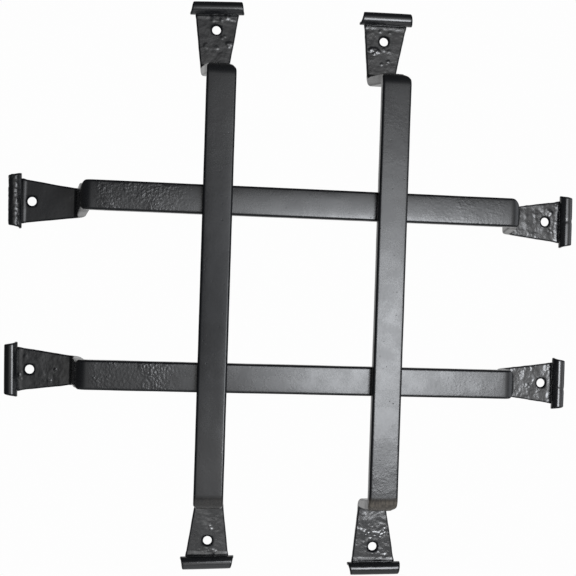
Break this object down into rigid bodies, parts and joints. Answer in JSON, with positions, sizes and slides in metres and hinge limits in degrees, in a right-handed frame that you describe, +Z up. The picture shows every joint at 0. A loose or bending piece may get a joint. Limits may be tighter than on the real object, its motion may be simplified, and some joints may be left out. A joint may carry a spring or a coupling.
{
  "type": "window security bar",
  "caption": "Flat steel bars crossing in a square grille, stood off the wall on splayed legs with fishtail screw feet that end in rolled curls.",
  "frame": {"origin": "middle of the grille in the wall plane, on which every foot lies", "axes": "+X to the right and +Z up as seen from the room side, +Y into the wall; the bars' front faces look towards -Y"},
  "size_m": [0.5191, 0.0638, 0.5198],
  "materials": {
    "bar_paint": "black semi-gloss enamel over forged steel",
    "weld_paint": "black semi-gloss enamel over rippled weld beads"
  },
  "bodies": {
    "root": {"upright_left": "bar_paint", "upright_right": "bar_paint", "crossbar_upper": "bar_paint", "crossbar_lower": "bar_paint", "weld_upper_left_above": "weld_paint", "weld_upper_left_below": "weld_paint", "weld_upper_right_above": "weld_paint", "weld_upper_right_below": "weld_paint", "weld_lower_left_above": "weld_paint", "weld_lower_left_below": "weld_paint", "weld_lower_right_above": "weld_paint", "weld_lower_right_below": "weld_paint"}
  },
  "joints": []
}
